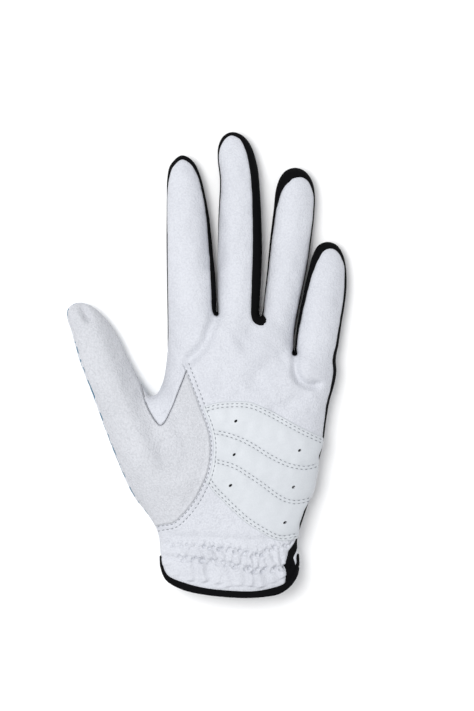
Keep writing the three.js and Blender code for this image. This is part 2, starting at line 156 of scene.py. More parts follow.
def spline(points, steps, closed=False):
    """A centripetal Catmull-Rom curve through points. Columns past x and y run straight."""
    points = np.asarray(points, float)
    ends = (2 * points[:1] - points[1:2], 2 * points[-1:] - points[-2:-1])
    if closed:
        ends = (points[-1:], points[:2])
    padded = np.vstack([ends[0], points, ends[1]])
    rows = []
    for i in range(1, len(padded) - 2):
        p = padded[i - 1:i + 3]
        t = [0.0]
        for a, b in zip(p, p[1:]):
            t.append(t[-1] + max(math.dist(a[:2], b[:2]), 1e-6) ** 0.5)
        for k in range(steps):
            share = k / steps
            s = t[1] + (t[2] - t[1]) * share
            between = lambda a, b, m, n: a + (b - a) * (s - t[m]) / (t[n] - t[m])
            a1, a2, a3 = (between(p[m], p[m + 1], m, m + 1) for m in range(3))
            row = between(between(a1, a2, 0, 2), between(a2, a3, 1, 3), 1, 2)
            row[2:] = p[1, 2:] + (p[2, 2:] - p[1, 2:]) * share
            rows.append(row)
    if not closed:
        rows.append(points[-1])
    return np.array(rows)


def nearest(x, y, line, closed=False):
    """For each point: distance to the polyline, which segment is nearest, the share along it, and
    the side, which is above 0 to the left of the line's direction."""
    a = line if closed else line[:-1]
    b = np.roll(line, -1, 0) if closed else line[1:]
    a, b = a[:, :2], b[:, :2]
    d = b - a
    length2 = np.maximum((d ** 2).sum(1), 1e-12)
    x, y = np.ravel(x), np.ravel(y)
    best = np.full(len(x), 1e18)
    which = np.zeros(len(x), int)
    share = np.zeros(len(x))
    side = np.ones(len(x))
    for i in range(len(a)):
        rx, ry = x - a[i, 0], y - a[i, 1]
        t = np.clip((rx * d[i, 0] + ry * d[i, 1]) / length2[i], 0, 1)
        dist2 = (rx - t * d[i, 0]) ** 2 + (ry - t * d[i, 1]) ** 2
        near = dist2 < best
        best[near] = dist2[near]
        which[near] = i
        share[near] = t[near]
        side[near] = np.sign(d[i, 0] * ry - d[i, 1] * rx)[near]
    return np.sqrt(best), which, share, side


def inside_polygon(x, y, polygon):
    x, y = np.ravel(x), np.ravel(y)
    inside = np.zeros(len(x), bool)
    for (x0, y0), (x1, y1) in zip(polygon[:, :2], np.roll(polygon, -1, 0)[:, :2]):
        if y0 == y1:
            continue
        crosses = (y0 > y) != (y1 > y)
        inside ^= crosses & (x < x0 + (y - y0) * (x1 - x0) / (y1 - y0))
    return inside


def polygon_distance(x, y, polygon):
    """Distance in from a polygon's edge: below 0 outside it."""
    distance = nearest(x, y, polygon, closed=True)[0]
    return np.where(inside_polygon(x, y, polygon), distance, -distance)


def line_distance(x, y, line):
    """Distance from an open line, above 0 on its left."""
    distance, _, _, side = nearest(x, y, line)
    return distance * np.where(side == 0, 1, side)


# ---- fields over the outline
CELL = 0.4
GRID_X = -74.4 + CELL * np.arange(4 * 93 + 1)
GRID_Y = -122 + CELL * np.arange(4 * 150 + 1)
INFLATE_REACH = 12  # how far in from the edge the glove keeps rising
INFLATE_HEIGHT2 = 245  # the square of how high it rises far from any edge
EDGE_BAND = 1.3  # the strip along the edge where the grid is too coarse to be used
LEAST_SLOPE = 3  # of the height's square, so that every edge is round


def relax(inside, start, cell, passes):
    """Height squared of a skin blown up over the region."""
    u = start * inside
    pull = INFLATE_HEIGHT2 * (cell / INFLATE_REACH) ** 2
    hold = 4 + (cell / INFLATE_REACH) ** 2
    for _ in range(passes):
        around = u[2:, 1:-1] + u[:-2, 1:-1] + u[1:-1, 2:] + u[1:-1, :-2]
        u[1:-1, 1:-1] = inside[1:-1, 1:-1] * (around + pull) / hold
        u[:, 0] = u[:, 1]  # level past the wrist, which stays open
    return u


def inflate(inside):
    """The blown-up skin, worked out on a coarse grid first and then on finer ones."""
    u = np.zeros(inside[::4, ::4].shape)
    u = relax(inside[::4, ::4].astype(float), u, CELL * 4, 300)
    for step in (2, 1):
        mask = inside[::step, ::step].astype(float)
        fine = np.zeros((2 * u.shape[0] - 1, 2 * u.shape[1] - 1))
        fine[::2, ::2] = u
        fine[1::2, ::2] = (u[1:] + u[:-1]) / 2
        fine[:, 1::2] = (fine[:, 2::2] + fine[:, :-1:2]) / 2
        u = relax(mask, fine[:mask.shape[0], :mask.shape[1]], CELL * step, 260)
    return u


class Outline:
    """What depends only on x and y, kept on a fine grid."""

    def __init__(self):
        rows = [(x, y, seam, seam) for x, y, seam in THUMB_OUTLINE]
        rows += [row if len(row) == 4 else (*row, UNDER) for row in FINGER_OUTLINE]
        line = spline(rows, 6, closed=True)
        gx, gy = np.meshgrid(GRID_X, GRID_Y, indexing="ij")
        distance, which, share, _ = nearest(gx, gy, line, closed=True)
        following = np.roll(line, -1, 0)
        seams = line[which, 2:] + (following[which, 2:] - line[which, 2:]) * share[:, None]
        inside = inside_polygon(gx, gy, line)
        shape = gx.shape
        inside = inside.reshape(shape)
        self.distance = np.where(inside, distance.reshape(shape), -distance.reshape(shape))
        self.front = seams[:, 0].reshape(shape)
        self.back = seams[:, 1].reshape(shape)
        self.swell = self.edge_exact(inflate(inside))

    def edge_exact(self, u):
        """u made to cross zero just on the outline: its slope is smooth there, and is carried out."""
        known = self.distance > EDGE_BAND
        slope = np.where(known, u / np.maximum(self.distance, 0.1), 0)
        weight = known.astype(float)
        for _ in range(18):
            total = np.zeros_like(slope)
            count = np.zeros_like(weight)
            for dx, dy in ((0, 1), (0, -1), (1, 0), (-1, 0), (1, 1), (-1, -1), (1, -1), (-1, 1)):
                total += np.roll(slope * weight, (dx, dy), (0, 1))
                count += np.roll(weight, (dx, dy), (0, 1))
            fill = (weight == 0) & (count > 0)
            slope[fill] = total[fill] / count[fill]
            weight[fill] = 1
        return self.distance * np.maximum(slope, LEAST_SLOPE)


def sample(grid, x, y):
    """A grid's value at any points, straight between its cells."""
    fx = np.clip((x - GRID_X[0]) / CELL, 0, len(GRID_X) - 1.001)
    fy = np.clip((y - GRID_Y[0]) / CELL, 0, len(GRID_Y) - 1.001)
    ix, iy = fx.astype(int), fy.astype(int)
    tx, ty = fx - ix, fy - iy
    low = grid[ix, iy] * (1 - tx) + grid[ix + 1, iy] * tx
    high = grid[ix, iy + 1] * (1 - tx) + grid[ix + 1, iy + 1] * tx
    return low * (1 - ty) + high * ty


outline = Outline()

# ---- heights
# Along the glove's length: the height where it is widest, how full it is above and below that, and
# the underside that it lies on.
WAIST_KNOTS = [(-80, 12.5), (-55, 10), (-20, 9), (25, 6.9), (60, 6.7)]
TOP_KNOTS = [(-96, 0.62), (-80, 0.72), (-50, 0.98), (10, 1), (60, 0.98)]
BOTTOM_KNOTS = [(-96, 0.66), (-60, 0.9), (-20, 1), (60, 0.95)]
FLOOR_KNOTS = [(-70, 4.4), (-38, 0.25)]
FLOOR_ROUNDING = 1.6
BODY_SLOPE = 18  # divides a difference of squares into about a distance
MOST_DENT = 0.5  # a fold never takes more than this share of the height
MOST_SWELL = 0.6


def waist(y):
    return ramp(y, WAIST_KNOTS)


def bump(x, y, points, width, height, fade):
    """A soft ridge along a line, or a crease where height is below 0, that dies out at both ends."""
    line = spline(points, 6)
    lengths = np.concatenate([[0], np.cumsum(np.hypot(*np.diff(line[:, :2], axis=0).T))])
    distance, which, share, _ = nearest(x, y, line)
    place = lengths[which] + (lengths[which + 1] - lengths[which]) * share
    ends = smoothstep(place / fade) * smoothstep((lengths[-1] - place) / fade)
    return (height * np.exp(-(distance / width) ** 2) * ends).reshape(np.shape(x))


def turned(x, y, centre, size, degrees):
    """Distances from a centre along the axes of a turned ellipse, as shares of its size."""
    a = math.radians(degrees)
    dx, dy = x - centre[0], y - centre[1]
    u = (dx * math.cos(a) + dy * math.sin(a)) / size[0]
    v = (-dx * math.sin(a) + dy * math.cos(a)) / size[1]
    return u, v


def mound(x, y, centre, size, height, turn):
    u, v = turned(x, y, centre, size, turn)
    return height * np.exp(-(u * u + v * v))


# Folds in the leather: points, width, height and how long each end takes to die out
FOLDS = [
    ([(4.6, 27), (3.5, 21.4), (1.1, 14.5), (-1.7, 8.4), (-6.7, 2.9), (-12, -2)], 2.7, -3.6, 6),
    ([(24.5, 20), (21, 13), (14, 6)], 4.5, -1.9, 6),
    ([(42, 6), (34, 1.5), (26, -4), (20.5, -15)], 4.8, -2, 8),
    ([(42, 9), (42, 2), (43, -6), (48, -10.5), (57, -9)], 2, -3.2, 6),
    ([(50, -13), (43, -17), (36, -21), (27, -23)], 3.6, -1.2, 6),
    ([(-63, 30), (-59, 25.5), (-55, 18)], 1.5, -3.8, 6),
    ([(-66.5, 26), (-62, 22), (-59, 16)], 2, 1.2, 6),
    ([(-15, -60), (-17.5, -48), (-20, -37), (-23.5, -27), (-28, -15), (-33, -1), (-39.5, 14), (-48, 28)],
     7, -9, 22),
    ([(2.5, 78), (3, 66), (3.8, 52), (4.2, 42)], 4, -3, 6),
    ([(-20, -82.5), (0, -83), (22, -84), (42, -83)], 2.2, -0.8, 6),
    ([(60, 33), (63.5, 28), (66, 24)], 1.6, -0.8, 6),
    ([(-15, 16), (-6, 13), (1, 11)], 3, -0.35, 6),
]
# Soft swellings: centre, size, height and turn in degrees
MOUNDS = [
    ((-14, -46), (15, 22), 2.2, 20),
    ((51, -1), (8, 8), 1, 0),
    ((-36, -30), (9, 18), 0.8, 25),
]


def sculpt_top():
    gx, gy = np.meshgrid(GRID_X, GRID_Y, indexing="ij")
    total = np.zeros_like(gx)
    for points, width, height, fade in FOLDS:
        total += bump(gx, gy, points, width, height, fade)
    for centre, size, height, turn in MOUNDS:
        total += mound(gx, gy, centre, size, height, turn)
    return total


sculpted = sculpt_top()


def skin(x, y, z):
    """Below 0 inside the glove and about the distance in millimetres from its surface."""
    u = sample(outline.swell, x, y)
    extra = sample(sculpted, x, y)
    rise = z - waist(y)
    up = rise > 0
    scale = np.where(up, ramp(y, TOP_KNOTS), ramp(y, BOTTOM_KNOTS))
    height = scale * np.sqrt(np.maximum(u, 1))
    share = extra / height
    dent = 1 - MOST_DENT + MOST_DENT * np.exp(np.minimum(share, 0) / MOST_DENT)
    stretch = np.where(up, np.where(share < 0, dent, 1 + np.minimum(share, MOST_SWELL)), 1)
    body = ((rise / (scale * stretch)) ** 2 - u) / BODY_SLOPE
    floor = ramp(y, FLOOR_KNOTS) - z
    near_both = np.maximum(1 - np.abs(body - floor) / FLOOR_ROUNDING, 0)
    return np.maximum(body, floor) + 0.25 * FLOOR_ROUNDING * near_both ** 2


# ---- from the skin function to a mesh
def cells_beside(index, axis, shape, side):
    """The cells at one of the four sides of each crossed edge, and which of them exist."""
    cells = index.copy()
    cells[:, [k for k in range(3) if k != axis]] -= side
    return cells, ((cells >= 0) & (cells < shape)).all(1)


def surface_net(values, origin, cell):
    """Points and quads where a grid of values crosses zero. Quads face where values are above 0."""
    inside = values < 0
    shape = tuple(n - 1 for n in values.shape)
    total = np.zeros(shape + (3,))
    count = np.zeros(shape)
    crossings = []
    for axis in range(3):
        before = [slice(None)] * 3
        after = [slice(None)] * 3
        before[axis] = slice(0, -1)
        after[axis] = slice(1, None)
        v0, v1 = values[tuple(before)], values[tuple(after)]
        cross = inside[tuple(before)] != inside[tuple(after)]
        index = np.argwhere(cross)
        place = index.astype(float)
        place[:, axis] += (v0 / (v0 - v1 + 1e-30))[cross]
        for side in ((0, 0), (0, 1), (1, 0), (1, 1)):
            cells, good = cells_beside(index, axis, shape, side)
            key = tuple(cells[good].T)
            np.add.at(total, key, place[good])
            np.add.at(count, key, 1)
        crossings.append((axis, index, inside[tuple(before)][cross]))
    used = count > 0
    number = np.full(shape, -1)
    number[used] = np.arange(used.sum())
    points = np.array(origin) + (total[used] / count[used][:, None]) * np.array(cell)
    quads = []
    for axis, index, starts_inside in crossings:
        around = [cells_beside(index, axis, shape, side) for side in ((0, 0), (1, 0), (1, 1), (0, 1))]
        good = np.all([exists for _, exists in around], axis=0)
        ids = np.stack([number[tuple(cells[good].T)] for cells, _ in around], 1)
        flip = ~starts_inside[good] if axis != 1 else starts_inside[good]
        ids[flip] = ids[flip][:, ::-1]
        quads.append(ids)
    return points, np.concatenate(quads)


GRADIENT_STEP = 0.35


def gradient(points):
    result = np.zeros_like(points)
    for k in range(3):
        move = np.zeros(3)
        move[k] = GRADIENT_STEP
        result[:, k] = (skin(*(points + move).T) - skin(*(points - move).T)) / (2 * GRADIENT_STEP)
    return result


def settle(points, passes):
    """Moves points onto the skin."""
    for _ in range(passes):
        slope = gradient(points)
        size2 = np.maximum((slope ** 2).sum(1), 0.05)
        points = points - slope * (np.clip(skin(*points.T), -0.8, 0.8) / size2)[:, None]
    return points


NET_CELL = (0.4, 0.85, 0.8)
NET_RANGES = ((-71, 71), (-116, 114), (-1.5, 30))


def build_skin():
    xs, ys, zs = (np.arange(*ends, step) for ends, step in zip(NET_RANGES, NET_CELL))
    values = np.empty((len(xs), len(ys), len(zs)), np.float32)
    for i, x in enumerate(xs):
        gy, gz = np.meshgrid(ys, zs, indexing="ij")
        values[i] = skin(np.full_like(gy, x), gy, gz)
    points, quads = surface_net(values, (xs[0], ys[0], zs[0]), NET_CELL)
    return settle(points, 3), quads


# ---- the skin as a table that can be cut
SEAM = [(-25, -79.5), (-21, -78.2), (-15.4, -77), (-9.8, -72.2), (-4.3, -65), (-0.3, -57.2), (2.1, -50.8),
        (3.3, -40.5), (2.4, -32.4), (-1.9, -20.4), (-8.3, -3.8), (-10.2, 0.9)]
SEAM_ROW = 1.2  # each row of the thumb seam's stitches from the line between them
GUSSET_V = [(-33.1, -5.5), (-30.7, -13.2), (-28.5, -20.2), (-24.6, -27.1), (-22.3, -29.4), (-20.8, -28.6),
            (-17, -21.7), (-12.4, -10.2), (-9.3, -2.5)]
GUSSET = GUSSET_V + [(-9.8, 0.5), (-13, 5), (-19, 8.5), (-30, 12), (-36, 5)]
PATCH_ROWS = [
    [(-1.6, -22.4), (4.5, -20.5), (12.4, -19.8), (20.4, -20.2), (28.3, -23.4), (36.3, -27.7),
     (44.3, -32.1), (56.5, -38)],
    [(3.4, -32.5), (8.4, -33.3), (15.6, -35.7), (22, -38.9), (28.3, -42.9), (34.8, -46.4), (41.1, -48.8),
     (47.5, -49.6), (53.5, -48.2)],
    [(3.4, -46), (8.4, -47.2), (14, -49.2), (20.4, -53.2), (26.8, -57.6), (33.1, -62.4), (37.9, -65.1),
     (42.7, -66), (50.5, -64.6)],
    [(0.6, -54.2), (4.5, -59.6), (8.4, -63.6), (14, -69.1), (20.4, -74.7), (26.8, -78.7), (32.4, -81.8),
     (36.3, -82.7), (44.5, -81.4)],
]
PATCH_MARGIN = 1.9  # leather past the outer rows
ROW_GAP = 0.75  # each row of a double row from the line between them
PERFORATIONS = [(13.9, -27.3), (43.8, -41.3), (12.9, -43.2), (40.8, -58.6), (11.3, -57.7), (36.8, -75.5)]
PERFORATION_SIZE = (0.9, 0.58)
PERFORATION_TURN = 40
CUFF_EDGE = [(-60, -90.5), (-26, -91), (-22.6, -93.5), (-21.9, -97), (-19.4, -103.2), (-12.5, -107.3),
             (-2.9, -109.7), (16.3, -111.5), (27.8, -111), (34.6, -109.7), (39.6, -106.4), (42.9, -101.5),
             (44, -97), (45.5, -92), (48, -90.5), (80, -90)]
CUFF_BINDING = [(-60, -90), (-26, -90.4), (-22.2, -92), (-21.3, -96.1), (-18.7, -101), (-11.2, -104.2),
                (-2.7, -106.4), (5.9, -107.6), (21.8, -108.3), (30.4, -107), (37.4, -104.6), (41, -101),
                (42.9, -96.5), (43.2, -91.5), (45, -90), (80, -89.5)]
SLIT_X = 20
SLIT_TOP = -54
SLIT_HALF = 1.5
SLIT_EDGE = 2.2
ELASTIC_Y = (-99, -87)


def offset(points, distance):
    """A smooth line moved to its left."""
    line = spline(points, 5)
    along = np.gradient(line, axis=0)
    along /= np.linalg.norm(along, axis=1)[:, None]
    return line + distance * np.stack([-along[:, 1], along[:, 0]], 1)


PATCH = np.vstack([
    offset(PATCH_ROWS[0], PATCH_MARGIN), [(80, -45), (80, -84)],
    offset(PATCH_ROWS[3], -PATCH_MARGIN)[::-1], offset(SEAM[5:10], 0.2),
])
seam_line = spline(SEAM, 6)
cuff_line = spline(CUFF_EDGE, 5)
binding_line = spline(CUFF_BINDING, 5)
gap_lines = [spline(gap, 4) for gap in GAPS]
crotch_line = np.array([(CROTCH[0], -60), CROTCH, (-24.5, 60)])
gusset_line = spline(GUSSET, 5, closed=True)

FINGER_SIDES = {
    "index": [(crotch_line, -1), (gap_lines[0], 1)],
    "middle": [(gap_lines[0], -1), (gap_lines[1], 1)],
    "ring": [(gap_lines[1], -1), (gap_lines[2], 1)],
    "little": [(gap_lines[2], -1)],
    "thumb": [(crotch_line, 1)],
}
COLUMNS = ["x", "y", "z", "depth", "front", "back", "cuff", "binding", "seam", "gusset", "patch", "holes",
           "slit", "elastic"] + list(LIMBS) + [f"{name}_tip" for name in LIMBS]
COLUMN = {name: i for i, name in enumerate(COLUMNS)}


def perforations(x, y):
    """Above 0 outside the small slanted holes."""
    nearest_hole = np.full(len(x), 99)
    for centre in PERFORATIONS:
        u, v = turned(x, y, centre, PERFORATION_SIZE, PERFORATION_TURN)
        nearest_hole = np.minimum(nearest_hole, np.hypot(u, v) - 1)
    return nearest_hole


def fill_table(points):
    """Each point's place, and how far it lies past every line that the panels are cut along."""
    x, y, z = points.T
    inward = sample(outline.distance, x, y)
    rise = z - waist(y)
    depth = np.where(rise >= 0, np.maximum(inward, 0), rise)
    slit = np.hypot(x - SLIT_X, np.maximum(y - (SLIT_TOP - SLIT_HALF), 0)) - SLIT_HALF
    values = {
        "x": x, "y": y, "z": z, "depth": depth,
        "front": depth - sample(outline.front, x, y),
        "back": depth - sample(outline.back, x, y),
        "cuff": line_distance(x, y, cuff_line),
        "binding": line_distance(x, y, binding_line),
        "seam": line_distance(x, y, seam_line) - SEAM_ROW,
        "gusset": polygon_distance(x, y, gusset_line),
        "patch": polygon_distance(x, y, PATCH),
        "holes": perforations(x, y),
        "slit": slit,
        "elastic": np.minimum(y - ELASTIC_Y[0], ELASTIC_Y[1] - y),
    }
    for name, limb in LIMBS.items():
        along = limb.distance(x, y)
        part = along - limb.start
        for line, side in FINGER_SIDES[name]:
            part = np.minimum(part, side * line_distance(x, y, line))
        values[name] = part
        values[f"{name}_tip"] = np.minimum(part, along - limb.split)
    return np.column_stack([values[name] for name in COLUMNS])


def split_edges(table, tris, choose):
    """Puts a new point on each chosen edge. choose(first, second) gives the share along it, or NaN."""
    pairs = np.sort(tris[:, [[0, 1], [1, 2], [2, 0]]].reshape(-1, 2), 1)
    keys, edge_of = np.unique(pairs[:, 0] * len(table) + pairs[:, 1], return_inverse=True)
    first, second = keys // len(table), keys % len(table)
    share = choose(first, second)
    chosen = ~np.isnan(share)
    number = np.full(len(keys), -1)
    number[chosen] = len(table) + np.arange(chosen.sum())
    t = share[chosen][:, None]
    table = np.vstack([table, table[first[chosen]] * (1 - t) + table[second[chosen]] * t])
    middle = number[edge_of].reshape(-1, 3)
    count = (middle >= 0).sum(1)
    result = [tris[count == 0]]
    for turn in range(3):
        corners, mids = np.roll(tris, -turn, 1), np.roll(middle, -turn, 1)
        one = (count == 1) & (mids[:, 0] >= 0)
        a, b, c = corners[one].T
        m = mids[one, 0]
        result += [np.stack([a, m, c], 1), np.stack([m, b, c], 1)]
        two = (count == 2) & (mids[:, 2] < 0)
        a, b, c = corners[two].T
        m, n = mids[two, 0], mids[two, 1]
        result += [np.stack([m, b, n], 1), np.stack([a, m, n], 1), np.stack([a, n, c], 1)]
    three = count == 3
    a, b, c = tris[three].T
    m, n, o = middle[three].T
    quarters = ((a, m, o), (m, b, n), (o, n, c), (m, n, o))
    result += [np.stack(corners, 1) for corners in quarters]
    return table, np.concatenate(result)


SNAP = 0.05  # a point this near a line is taken to be on it


def cut(table, tris, name):
    """Puts points along the line where a column is 0, so that no triangle crosses it."""
    column = COLUMN[name]
    values = table[:, column]
    values[np.abs(values) < SNAP] = 0

    def crossing(first, second):
        a, b = values[first], values[second]
        with np.errstate(divide="ignore", invalid="ignore"):
            return np.where(a * b < 0, a / (a - b), np.nan)

    before = len(table)
    table, tris = split_edges(table, tris, crossing)
    table[before:, column] = 0
    return table, tris


def refine(table, tris, wanted):
    """Halves the edges of the wanted triangles."""
    marked = np.zeros(len(table), bool)
    marked[tris[wanted].ravel()] = True
    return split_edges(table, tris, lambda a, b: np.where(marked[a] & marked[b], 0.5, np.nan))


def triangulate(points, quads):
    a, b, c, d = (points[quads[:, k]] for k in range(4))
    short = np.linalg.norm(a - c, axis=1) < np.linalg.norm(b - d, axis=1)
    q, r = quads[short], quads[~short]
    return np.vstack([q[:, [0, 1, 2]], q[:, [0, 2, 3]], r[:, [0, 1, 3]], r[:, [1, 2, 3]]])


def normals_of(points, tris):
    a, b, c = (points[tris[:, k]] for k in range(3))
    face = np.cross(b - a, c - a)
    total = np.zeros_like(points)
    for k in range(3):
        np.add.at(total, tris[:, k], face)
    return total / np.maximum(np.linalg.norm(total, axis=1), 1e-12)[:, None]


# ---- fine relief
PANEL_GROOVE = (0.42, 0.55)  # depth and width of the groove where two panels meet
WELT_PLACE = 1.1  # the thumb seam's raised welt, from the seam's edge
WELT = (0.42, 0.75)
WELT_GROOVE = (0.45, 0.34)
OUTER_GROOVE = (0.22, 0.5)
CROTCH_FADE = (0.8, 3)  # the welt dies out below this height, over this length
GUSSET_GROOVE = (0.34, -1.1)  # width and height, as for every local bump
GUSSET_LIP = (0.8, 0.35)
UNEVENNESS = ((0.12, 9, 3), (0.07, 4.5, 4))  # height, size and seed
CUFF_ROUND = (0.55, 0.7)  # how far the binding stands out, and how wide its rounding is
CUFF_GROOVE = (0.25, 0.5)
SLIT_ROUND = (0.35, 0.6)
ELASTIC_ROWS = [
    [(-24, -85.5), (-14, -86.2), (-5, -87), (6, -88), (17, -89.8), (23, -91.4), (31, -88.4), (42, -86)],
    [(-24, -91.5), (-14, -92.6), (-5.7, -93.2), (3, -94.4), (10, -95.4), (17.4, -97.4), (24.6, -98.6),
     (31, -98), (38, -97.2)],
]
WRIST_LEFT = -20
WRIST_RIGHT = 40
DENT_PITCH = 2.1
DENT_JITTER = (-0.6, 0.6)
DENT_HALF = (0.5, 1.1)  # half of its length, along x and along y
DENT_DEPTH = (0.5, 1.4)
DENT_WIDTH = (0.55, 0.8)
ZIGZAG = 0.55  # how far the dents are above and below their row by turns
PUFFS = (3.4, 0.85)  # between the rows: spacing and height
PLEATS = (5.6, 1.15)  # below them
PLEAT_LEAN = (-3.8, 0.6)


def make_puckers():
    """Dents in a zigzag along each sewn row, with puffs and pleats between: points, width, height.
    The random draws stay in this order."""
    rows = [spline(row, 6) for row in ELASTIC_ROWS]
    edge = spline(CUFF_BINDING[3:13], 6)

    def level(line, x):
        order = np.argsort(line[:, 0])
        return float(np.interp(x, line[order, 0], line[order, 1]))

    strokes = []
    for row in rows:
        for k, x in enumerate(np.arange(WRIST_LEFT, WRIST_RIGHT + 1, DENT_PITCH)):
            x += rng.uniform(*DENT_JITTER)
            y = level(row, x) + (ZIGZAG if k % 2 else -ZIGZAG) + rng.uniform(-0.3, 0.3)
            lean = rng.uniform(*DENT_HALF)
            tall = rng.uniform(*DENT_HALF)
            depth = -rng.uniform(*DENT_DEPTH) * gathered(x)
            width = rng.uniform(*DENT_WIDTH)
            strokes.append(([(x - lean, y - tall), (x + lean, y + tall)], width, depth))
            strokes.append(([(x - 0.4, y + 1.6), (x + 0.5, y + 2.6)], 0.9, -0.5 * depth))
    for low, high, (spacing, height) in ((rows[1], rows[0], PUFFS), (edge, rows[1], PLEATS)):
        x = WRIST_LEFT
        while x < WRIST_RIGHT:
            lean = rng.uniform(*PLEAT_LEAN)
            bottom = level(low, x) + (rng.uniform(0.5, 3.5) if low is edge else 1)
            top = level(high, x + lean) - 1
            middle = (x + lean / 2 + rng.uniform(*DENT_JITTER), (top + bottom) / 2)
            width = rng.uniform(1, 1.5) * (1.6 if low is edge else 1)
            tall = height * rng.uniform(0.4, 1.2) * gathered(x)
            strokes.append(([(x, bottom), middle, (x + lean, top)], width, tall))
            x += spacing * rng.uniform(0.7, 1.4)
    return strokes


def gathered(x):
    """How strongly the wrist is gathered: calmer towards the thumb's side."""
    return 0.5 + 0.5 * smoothstep((x + 18) / 18)


def local_bump(total, x, y, points, width, height, fade):
    """Adds a bump where it matters only."""
    box = np.array(points)
    reach = 3 * width
    near = (x > box[:, 0].min() - reach) & (x < box[:, 0].max() + reach)
    near &= (y > box[:, 1].min() - reach) & (y < box[:, 1].max() + reach)
    total[near] += bump(x[near], y[near], points, width, height, fade)


def tuck(distance, groove):
    depth, width = groove
    return -depth * np.exp(-(distance / width) ** 2)


def rounding(inward, shape):
    """The height of a soft edge that is so far in from its rim."""
    height, width = shape
    return height * np.sqrt(1 - (1 - np.clip(inward / width, 0, 1)) ** 2)


def ripple(x, y, size, seed):
    """A smooth random unevenness from -1 to 1."""
    local = np.random.default_rng(seed)
    total = np.zeros_like(x)
    for _ in range(7):
        angle = local.uniform(0, math.tau)
        k = math.tau / (size * local.uniform(0.7, 1.5))
        total += np.sin(k * (x * math.cos(angle) + y * math.sin(angle)) + local.uniform(0, math.tau))
    return total / 4


def relief(table):
    """How far the leather stands out from the plain skin at each point."""
    x, y = table[:, 0], table[:, 1]
    col = lambda name: table[:, COLUMN[name]]
    top = smoothstep(col("depth") / 1.5 + 0.2)
    two_seams = smoothstep((col("back") - col("front")) / 1.5)
    total = tuck(col("front"), PANEL_GROOVE) + tuck(col("back"), PANEL_GROOVE) * two_seams
    palm = np.zeros_like(x)
    along_seam = smoothstep((CROTCH_FADE[0] - y) / CROTCH_FADE[1])
    seam = col("seam")
    palm += along_seam * (-tuck(seam - WELT_PLACE, WELT) + tuck(seam, WELT_GROOVE))
    palm += along_seam * tuck(seam + 2 * SEAM_ROW, OUTER_GROOVE)
    local_bump(palm, x, y, GUSSET_V, *GUSSET_GROOVE, 2)
    local_bump(palm, x, y, [(px + 1.1, py - 0.5) for px, py in GUSSET_V[4:]], *GUSSET_LIP, 2)
    for points, width, height in make_puckers():
        local_bump(palm, x, y, points, width, height, 0.8)
    for height, size, seed in UNEVENNESS:
        palm += height * ripple(x, y, size, seed)
    total += palm * top * (col("binding") > 0)
    binding = col("binding")
    total += np.where(binding < 0, rounding(-binding, CUFF_ROUND), tuck(binding, CUFF_GROOVE))
    inside_band = SLIT_EDGE - col("slit")
    total += np.where((col("back") < -0.5) & (inside_band > 0), rounding(inside_band, SLIT_ROUND), 0)
    return total


QUILT_SWELL = 0.75
QUILT_REACH = 3.6  # from a sewn row to where the patch is almost at its full height
STITCH_GROOVE = (0.35, 0.35)


def quilting(x, y):
    """The patch's sewn grooves, with soft swellings between them."""
    rows = np.full(len(x), 99)
    for row in PATCH_ROWS:
        rows = np.minimum(rows, nearest(x, y, spline(row, 6))[0])
    return QUILT_SWELL + tuck(rows, (QUILT_SWELL, QUILT_REACH)) + tuck(rows - ROW_GAP, STITCH_GROOVE)


# ---- pieces
PANEL_THICK = 0.8
pieces = {}


def add_object(name, data):
    obj = bpy.data.objects.new(name, data)
    bpy.context.scene.collection.objects.link(obj)
    return obj


def link(name, points, faces, normals=None):
    mesh = bpy.data.meshes.new(name)
    mesh.from_pydata((points * MM).tolist(), [], [list(map(int, face)) for face in faces])
    mesh.shade_smooth()
    if normals is not None:
        mesh.normals_split_custom_set_from_vertices(normals.tolist())
    pieces[name] = add_object(name, mesh)
    return pieces[name]


def panel(name, points, normals, tris, thick=PANEL_THICK):
    """A closed sheet: the outer skin, a copy of it further in, and a rim between them."""
    used, local = np.unique(tris, return_inverse=True)
    local = local.reshape(-1, 3)
    outer, direction = points[used], normals[used]
    n = len(used)
    edges = local[:, [[0, 1], [1, 2], [2, 0]]].reshape(-1, 2)
    forward = set(map(tuple, edges))
    rim = [(a, b) for a, b in forward if (b, a) not in forward]
    faces = [tuple(t) for t in local]
    faces += [(c + n, b + n, a + n) for a, b, c in local]
    faces += [(b, a, a + n, b + n) for a, b in rim]
    inward = plain_normals[used]
    return link(name, np.vstack([outer, outer - inward * thick]), faces, np.vstack([direction, -inward]))


def cross_section(height, thick, x, inset, edge):
    swell = rounding(inset, (thick, edge))
    middle = height(x) + thick / 2
    return middle + swell / 2, middle - swell / 2


